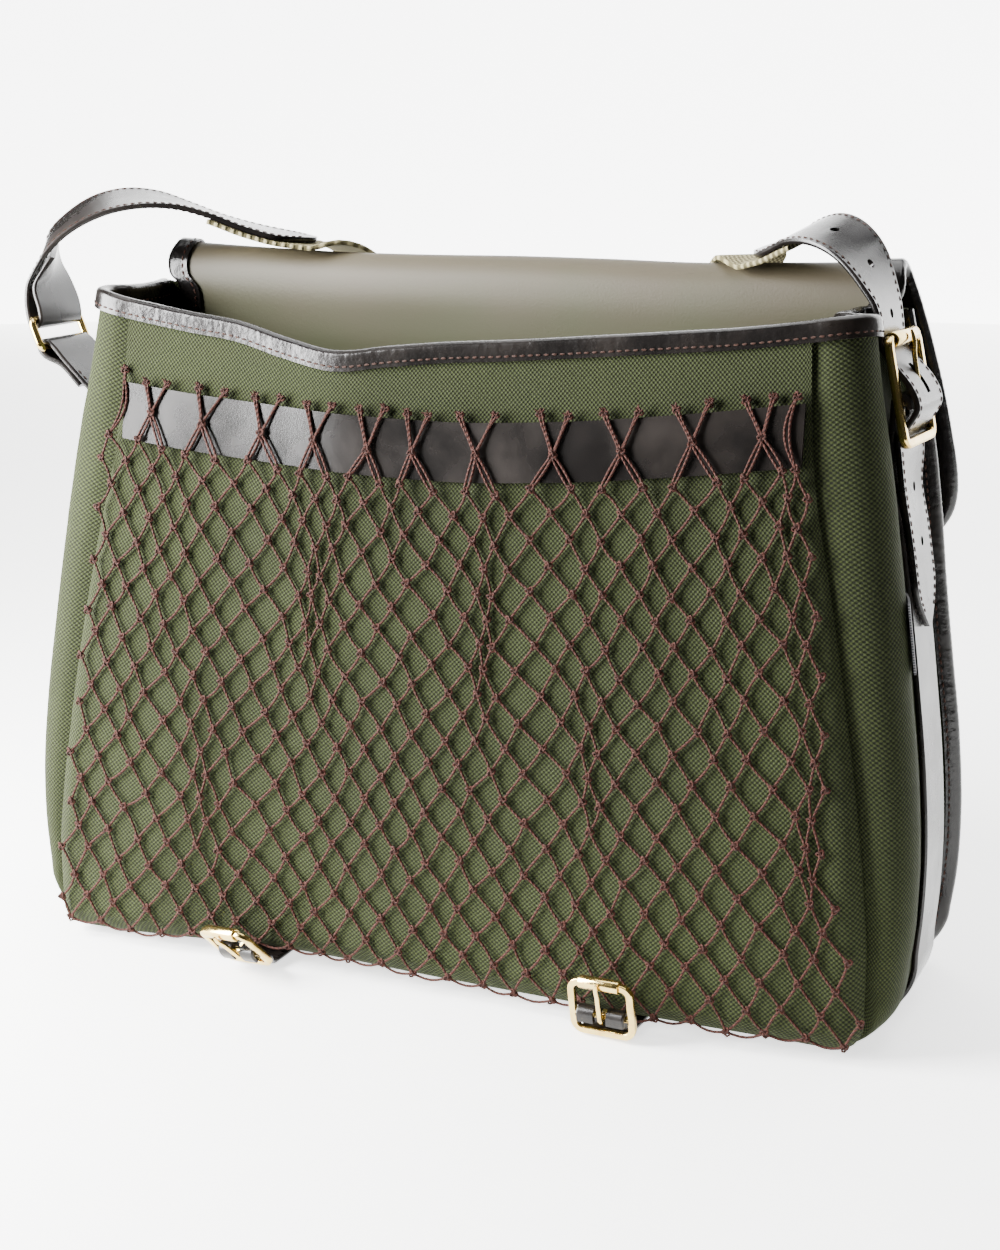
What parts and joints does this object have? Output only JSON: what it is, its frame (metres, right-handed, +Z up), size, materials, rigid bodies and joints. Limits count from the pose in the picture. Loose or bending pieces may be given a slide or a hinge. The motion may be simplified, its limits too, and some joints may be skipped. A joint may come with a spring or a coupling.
{
  "type": "hunting game bag",
  "caption": "Canvas shoulder bag with a thrown-back lined flap, leather-bound edges, a laced net front pocket and a buckled leather and webbing shoulder strap.",
  "frame": {"origin": "centre of the base on the floor, midway between the sides and under the middle of the gusset", "axes": "+X to the bag's right as seen from the front, the front with the net faces -Y, +Z up"},
  "size_m": [0.4806, 0.2168, 0.3709],
  "materials": {
    "canvas": "coarse plain-woven olive cotton canvas",
    "leather": "black waxed bridle leather, semi-gloss",
    "lining": "smooth coated olive-brown cloth",
    "brass": "polished brass",
    "twine": "dark reddish-brown knotted twine",
    "webbing": "cream cotton webbing",
    "label": "plain grey woven tab, blank"
  },
  "bodies": {
    "root": {"front_panel": "canvas", "gusset": "canvas", "back_panel": "canvas", "flap": "canvas", "flap_lining": "lining", "rim_binding": "leather", "back_seam_binding": "leather", "flap_binding": "leather", "net_band": "leather", "net": "twine", "side_strap_left": "leather", "side_strap_right": "leather", "strap_end_left": "leather", "strap_end_right": "leather", "strap_webbing": "webbing", "strap_ring": "brass", "side_buckle_frame": "brass", "side_buckle_roller": "brass", "side_buckle_prong": "brass", "bottom_buckle_left_frame": "brass", "bottom_buckle_left_roller": "brass", "bottom_buckle_left_prong": "brass", "bottom_buckle_right_frame": "brass", "bottom_buckle_right_roller": "brass", "bottom_buckle_right_prong": "brass", "bottom_chape_left": "leather", "bottom_chape_right": "leather", "closing_strap_left": "leather", "closing_strap_right": "leather", "side_label": "label"}
  },
  "joints": []
}
